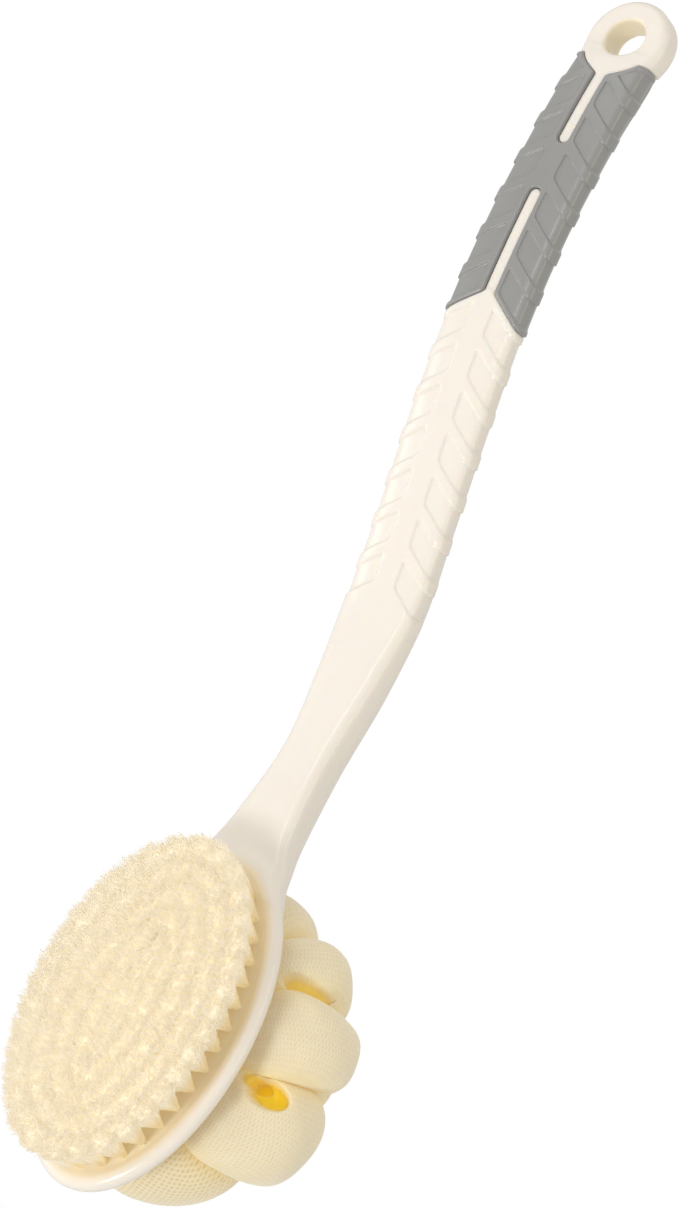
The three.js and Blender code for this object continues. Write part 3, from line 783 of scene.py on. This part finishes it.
def ring_tufts(number, random):
    """One oval ring of tufts."""
    made = Strands()
    long, short = tuft_edge(number + 0.5, 0)
    wide = math.pi * sum(tuft_edge(number + 0.5, 0.53)) / TUFTS[number] / 2 * 1.06
    for turn in even_turns(long, short, TUFTS[number]):
        along = np.array([-short * math.sin(turn), long * math.cos(turn)])
        along = along / np.linalg.norm(along)
        centre = functools.partial(tuft_centre, number + 0.5, turn)
        tuft_cone(made, centre, along, random, wide)
        if number == 0:
            wall_strands(made, centre, along, int(30 * STRANDS_PER_MM2), random, wide)
    ring_bed(made, number)
    outer, inner = (math.pi * np.prod(tuft_edge(number + step, 1)) for step in (0, 1))
    edges = (number - 0.1 * (number > 0), number + 1.1)
    tip_strands(made, edges, int((outer - inner) * 1.2 * STRANDS_PER_MM2), random)
    return made


def row_tufts(random):
    """The straight row of tufts in the middle."""
    made = Strands()
    reach = ROOT_LONG - len(TUFTS) * ROOT_PITCH - ROW_END
    for i in range(ROW_TUFTS):
        along = reach * (2 * i / (ROW_TUFTS - 1) - 1)
        tuft_cone(made, lambda height, a=along: (0 * height, a + 0 * height), np.array([0, 1.0]), random,
                  2.4)
    long, short = tuft_edge(len(TUFTS), 1)
    turn = full_turn(40)
    profile = ((0.97, 13), (0.97, 16.9), (0.6, 17), (0.3, 17), (0.02, 17))
    size, height = (np.array(c)[:, None] for c in zip(*profile))
    x, up = size * short * np.cos(turn), size * long * np.sin(turn)
    out = height + (TIP_CROWN + lumps(x, up)) * (height > 16)
    points = from_head(x.ravel(), up.ravel(), out.ravel())
    made.add(points, tube_faces(1, len(size), len(turn)), np.full(len(points), 0.62),
             np.full(len(points), 0.5))
    count = int(math.pi * long * short * STRANDS_PER_MM2)
    tip_strands(made, (len(TUFTS) - 0.1, len(TUFTS) + 0.9), count, random)
    return made


def bristle_piece(name, strands, material, node):
    """The collected strands as one piece."""
    piece = mesh_piece(name, np.vstack(strands.points), np.vstack(strands.faces), material,
                       "handle", [node])
    point_values(piece, "height", np.concatenate(strands.height))
    point_values(piece, "tint", np.concatenate(strands.tint))
    return piece


# ---- pouf ---------------------------------------------------------------------------------------
def fold_loop(profile, mid):
    """Distance and height of the points round a fold's section, from its gathered end and back to it."""
    front = np.array(profile, float)
    back = front[-2::-1] * (1, -1)
    loop = catmull_rom(np.vstack([front, back]), 10)
    return loop[:, 0], mid + loop[:, 1]


def pocketed(x, up, out, deep, pocket):
    """A fold's points with one hollow pushed into its front, and how deep in a fold they count as, which
    sets the painted bounce light of deep yellow inside the hollow.
    """
    at_x, at_up, long, short, tilt, depth, yellow = pocket
    across = (x - at_x) * math.cos(tilt * DEG) + (up - at_up) * math.sin(tilt * DEG)
    along = (up - at_up) * math.cos(tilt * DEG) - (x - at_x) * math.sin(tilt * DEG)
    share = np.hypot(across / long, along / short)
    on_front = out > FOLD_MID + 2
    hollow = smooth_step(1.0, 0.7, share) * on_front
    away = np.maximum(np.hypot(x, up), 1)
    pull = 0.35 * depth * hollow
    # painted bounce light: deep yellow inside the hollow
    deep = np.maximum(deep, yellow * smooth_step(1.0, 0.6, share) * on_front)
    return x - pull * x / away, up - pull * up / away, out - depth * hollow, deep


def fold_surface(edges, profile, mid, reach, random, scale):
    """A puffed pillow between two edges round the head, creased where it meets the next, with wrinkles
    that run in to its gathered end. Gives its places, how deep in a fold they count as, which sets the
    painted shade and bounce light of deep yellow in the creases and near the gathered end, and where they
    lie on the knitted pattern."""
    r0, w0 = fold_loop(profile, mid)
    across = np.sin(np.linspace(-0.5, 0.5, 101) * math.pi)
    s, r = np.meshgrid(across, r0, indexing="ij")
    w = np.repeat(w0[None], len(across), 0)
    tip = r0.max()
    crease = 1 - np.sqrt(1 - np.abs(s) ** 2.1)
    r = r * (reach[0] + (reach[1] - reach[0]) * (0.5 + 0.5 * s))
    r = r - 0.55 * crease * np.maximum(r - 0.55 * tip, 0)
    w = mid + (w - mid) * (1 - 0.24 * crease)
    r = r + 0.16 * (w - mid) * (r / tip) ** 2
    phases = random.uniform(0, 2 * math.pi, 4)
    bulges = np.sin(2.3 * s + phases[0]) * np.sin(0.25 * w + phases[1])
    r = r + 0.5 * bulges * smooth_step(0.5, 1, r / tip)
    wrinkles = 0.35 * np.sin(17 * s + phases[2]) * smooth_step(0.8, 0.3, r / tip)
    w = w + np.sign(w - mid) * (wrinkles + 0.4 * np.sin(5 * s + 0.2 * r + phases[3]) * (1 - crease))
    front = np.clip((w - mid) / 14.5, -0.2, 1) * np.clip((50 - r) / 10, 0, 2.2)
    low, high = (degrees + swing * front for degrees, swing in edges)
    half = (high - low) / 2 * DEG - 0.03 / np.maximum(r, 4)
    turn = (low + high) / 2 * DEG + s * half
    # painted shade and bounce light, deep yellow in the creases and towards the gathered end
    deep = np.maximum(0.30 * crease ** 1.5, 0.35 * smooth_step(0.55, 0.2, r / tip))
    run = np.concatenate([[0], np.cumsum(np.hypot(np.diff(r0), np.diff(w0)))])
    place = np.stack([(run * scale[0] + 0 * s).ravel(), (s * half * r * scale[1]).ravel()], 1)
    return r * np.cos(turn), r * np.sin(turn), w, deep, place


def fold_mesh(name, material, edges, profile, mid, reach, node, random, pockets=(), stretched=0.0):
    """One fold of netting, closed at both creased sides by a fan round a point of its own."""
    scale = STRETCHED_SCALE if stretched else NET_SCALE
    x, up, out, deep, place = fold_surface(edges, profile, mid, reach, random, scale)
    for pocket in pockets:
        x, up, out, deep = pocketed(x, up, out, deep, pocket)
    count, size = x.shape
    points = from_head(x.ravel(), up.ravel(), out.ravel())
    ends = []
    for row, order in ((0, 1), (count - 1, -1)):
        ring = row * size + np.arange(size)
        centre = np.full(size, len(points))
        points = np.vstack([points, points[ring].mean(0)])
        place = np.vstack([place, place[ring].mean(0)])
        # painted shade where the creased side closes
        deep = np.append(deep, 0.8)
        ends.append(np.stack([ring, np.roll(ring, order), centre, centre], 1))
    piece = mesh_piece(name, points, np.vstack([tube_faces(1, count, size), *ends]), material, "pouf",
                       [node])
    point_values(piece, "deep", deep)
    point_values(piece, "stretched", np.full(len(points), stretched))
    face_map(piece, place)
    return piece


def flat_area(piece):
    """The area of a piece's faces in square metres."""
    areas = np.zeros(len(piece.data.polygons))
    piece.data.polygons.foreach_get("area", areas)
    return float(areas.sum())


def declare_netting(piece):
    """The area of one of the piece's layers, taken as a length of netting tube laid flat as two layers
    and three times as long as it is wide; it is worked out and not used."""
    area = flat_area(piece) / NET_LAYERS


def turned(profile, sides, wobble):
    """A slightly fluted surface round the head's axis from radius and height pairs."""
    turn = full_turn(sides)
    r, h = (np.array(c)[:, None] for c in zip(*profile))
    waves = 1 + wobble * (np.sin(turn * 17) + 0.5 * np.sin(turn * 29 + 1))
    x, up = r * waves * np.cos(turn), r * waves * np.sin(turn)
    points = from_head(x.ravel(), up.ravel(), (h + 0 * turn).ravel())
    return points, tube_faces(1, len(profile), sides)


# ---- the pieces ---------------------------------------------------------------------------------
def build_handle():
    """The ivory moulding and the rubber sleeve on it."""
    ivory, rubber = ivory_plastic(), grey_rubber()
    cell = 0.5
    points, quads = surface_net(handle_field, *HANDLE_BOX, cell)
    moulding = mesh_piece("handle_moulding", points, quads, ivory, "handle",
                          ["handle"])
    # painted bounce light in the eye's hole and on the face among the bristles
    point_values(moulding, "painted_bounce", painted_bounce_share(points))
    cell = 0.3
    points, quads = surface_net(grip_field, *GRIP_BOX, cell)
    mesh_piece("rubber_grip", points, quads, rubber, "handle", ["grip_sleeve"])


def build_bristles():
    """Four oval rings of tufts and the straight row inside them."""
    fibre = bristle_fibre()
    random = np.random.default_rng(SEED)
    for number in range(len(TUFTS)):
        strands = ring_tufts(number, random)
        bristle_piece(f"bristle_ring_{number + 1}", strands, fibre, f"tuft_ring_{number + 1}")
    bristle_piece("bristle_row", row_tufts(random), fibre, "tuft_row_middle")


def build_pouf():
    """The outer folds, the inner folds behind them and the gathered middle."""
    net = netting()
    random = np.random.default_rng(SEED + 1)
    for i, edges in enumerate(zip(FOLD_EDGES, FOLD_EDGES[1:])):
        piece = fold_mesh(f"netting_fold_{i + 1}", net, edges, OUTER_FOLD, FOLD_MID, FOLD_REACH[i],
                          f"pouf_fold_{i + 1}", random, POCKETS.get(i, ()), float(i == STRETCHED_FOLD))
        declare_netting(piece)
    step = 360 / INNER_FOLDS
    for i in range(INNER_FOLDS):
        edges = ((i * step, 0), (i * step + step, 0))
        piece = fold_mesh(f"netting_inner_fold_{i + 1}", net, edges, INNER_FOLD, INNER_MID, (1, 1),
                          f"pouf_inner_fold_{i + 1}", random)
        declare_netting(piece)
    points, quads = turned(catmull_rom(np.array(GATHER, float), 6), 96, 0.02)
    core = mesh_piece("netting_gather", points, quads, net, "pouf", ["pouf_core"])
    # painted shade: the gathered middle lies deep among the folds
    point_values(core, "deep", np.full(len(points), 0.7))
    point_values(core, "stretched", np.zeros(len(points)))
    face_map(core, points[:, [0, 2]])
    declare_netting(core)


def build_cinch():
    """The cord tied round the peg, and its knot: a trefoil beside it."""
    cord = twisted_cord()
    steps, sides = 120, 14
    turn = full_turn(steps)
    a, b = np.meshgrid(turn, full_turn(sides), indexing="ij")
    quads = ring_faces(steps, sides)[:, [0, 3, 2, 1]]  # turned over, to look outwards
    r = CINCH_RADIUS + CINCH_CORD * np.cos(b)
    out = CINCH_HEIGHT + CINCH_CORD * np.sin(b)
    points = from_head((r * np.cos(a)).ravel(), (r * np.sin(a)).ravel(), out.ravel())
    piece = mesh_piece("tie_cord", points, quads, cord, "pouf", ["cinch_cord"])
    face_map(piece, np.stack([a.ravel() * CINCH_RADIUS, b.ravel() * CINCH_CORD], 1))

    knot_at = CINCH_RADIUS + CINCH_CORD + GAP + CINCH_KNOT
    path = np.stack([np.sin(turn) + 2 * np.sin(2 * turn), np.cos(turn) - 2 * np.cos(2 * turn),
                     -np.sin(3 * turn)], 1)
    path = path * KNOT_SHAPE
    forward = np.roll(path, -1, 0) - np.roll(path, 1, 0)
    forward /= np.linalg.norm(forward, axis=1, keepdims=True)
    side = np.cross(forward, (0, 0, 1.0))
    side /= np.linalg.norm(side, axis=1, keepdims=True)
    over = np.cross(side, forward)
    round_path = np.cos(b)[..., None] * side[:, None] + np.sin(b)[..., None] * over[:, None]
    tube = (path[:, None] + KNOT_STRAND * round_path).reshape(-1, 3)
    points = from_head(knot_at + tube[:, 0], tube[:, 1], CINCH_HEIGHT + tube[:, 2])
    piece = mesh_piece("cord_knot", points, quads, cord, "pouf", ["cinch_knot"])
    face_map(piece, np.stack([a.ravel() * 3, b.ravel() * KNOT_STRAND], 1))


# ---- camera, floor and lights -------------------------------------------------------------------
def build_camera():
    """A long lens in front and to the right, a little below the middle, rolled so the handle leans."""
    azimuth, elevation, roll, distance = 35.745 * DEG, -6.797 * DEG, 25.06 * DEG, 1200.1
    aside, above = -3.03, 126.04
    back = Vector((math.sin(azimuth) * math.cos(elevation), -math.cos(azimuth) * math.cos(elevation),
                   math.sin(elevation)))
    right = Vector((math.cos(azimuth), math.sin(azimuth), 0))
    up = back.cross(right)
    place = Vector(HEAD_AT.tolist()) + aside * right + above * up + distance * back
    across = right * math.cos(roll) + up * math.sin(roll)
    upwards = up * math.cos(roll) - right * math.sin(roll)
    data = bpy.data.cameras.new("camera")
    data.lens, data.sensor_width = 128.8, 36
    data.clip_start, data.clip_end = 0.05, 20
    camera = bpy.data.objects.new("camera", data)
    turned_to = Matrix((across, upwards, back)).transposed().to_4x4()
    camera.matrix_world = Matrix.Translation(place * MM) @ turned_to
    bpy.context.scene.collection.objects.link(camera)
    bpy.context.scene.camera = camera
    return across, upwards, back


def build_floor():
    """A plain white floor just under the hanging brush."""
    material, _, _, shader = new_material("floor")
    filled(shader, Base_Color=(0.95, 0.95, 0.95, 1), Emission_Color=(1, 1, 1, 1),
           Emission_Strength=0.85, Roughness=1)
    size, below = 14, cad_low.z - 1.1
    corners = [(x * size, y * size, below) for x, y in ((-1, -1), (1, -1), (1, 1), (-1, 1))]
    mesh = bpy.data.meshes.new("floor")
    mesh.from_pydata(corners, [], [(0, 1, 2, 3)])
    mesh.materials.append(material)
    floor = bpy.data.objects.new("floor", mesh)
    bpy.context.scene.collection.objects.link(floor)
    floor.visible_diffuse = False
    floor.visible_glossy = False


def soft_box(name, place, size, power, colour, aim):
    """A rectangular light that faces a point."""
    data = bpy.data.lights.new(name, "AREA")
    data.shape = "RECTANGLE"
    data.size, data.size_y = size
    data.energy = power
    data.color = colour
    light = bpy.data.objects.new(name, data)
    light.location = place
    light.rotation_mode = "QUATERNION"
    light.rotation_quaternion = (Vector(aim) - Vector(place)).to_track_quat("-Z", "Y")
    bpy.context.scene.collection.objects.link(light)


def build_lights(right, up, back):
    """Soft boxes placed from the camera's side, and a white world that lights a little warmly."""
    aim = (cad_low + cad_high) / 2

    def at(a, b, c):
        return aim + right * a + up * b + back * c

    soft_box("key", at(-0.85, -0.4, 1.1), (0.35, 0.35), 6.5, (1, 0.99, 0.97), aim)
    soft_box("side", at(-1.5, 0.3, 0.1), (0.4, 0.9), 3, (1, 0.99, 0.97), aim)
    soft_box("strip", at(1.3, -0.1, 0.6), (0.2, 1.2), 2.5, (1, 0.9, 0.6), aim)
    soft_box("ridge", at(-0.43, 0.70, 1.24), (0.06, 0.7), 1.5, (1, 1, 1), aim)
    soft_box("top", at(-0.3, 1.4, 0.5), (1.2, 0.8), 2, (1, 1, 1), aim)
    world = bpy.data.worlds.new("world")
    bpy.context.scene.world = world
    world.use_nodes = True
    nodes, links = world.node_tree.nodes, world.node_tree.links
    shown = filled(nodes["Background"], Color=(1, 1, 1, 1), Strength=1.0)
    lit = add_node(nodes, "ShaderNodeBackground", Color=(1, 0.985, 0.96, 1), Strength=0.66)
    seen = nodes.new("ShaderNodeLightPath")
    mix = nodes.new("ShaderNodeMixShader")
    links.new(seen.outputs["Is Camera Ray"], mix.inputs[0])
    links.new(lit.outputs[0], mix.inputs[1])
    links.new(shown.outputs[0], mix.inputs[2])
    links.new(mix.outputs[0], nodes["World Output"].inputs[0])
    bpy.context.scene.view_settings.view_transform = "Standard"


right, up, back = build_camera()
build_floor()
build_lights(right, up, back)
build_handle()
build_bristles()
build_pouf()
build_cinch()
bpy.context.view_layer.update()
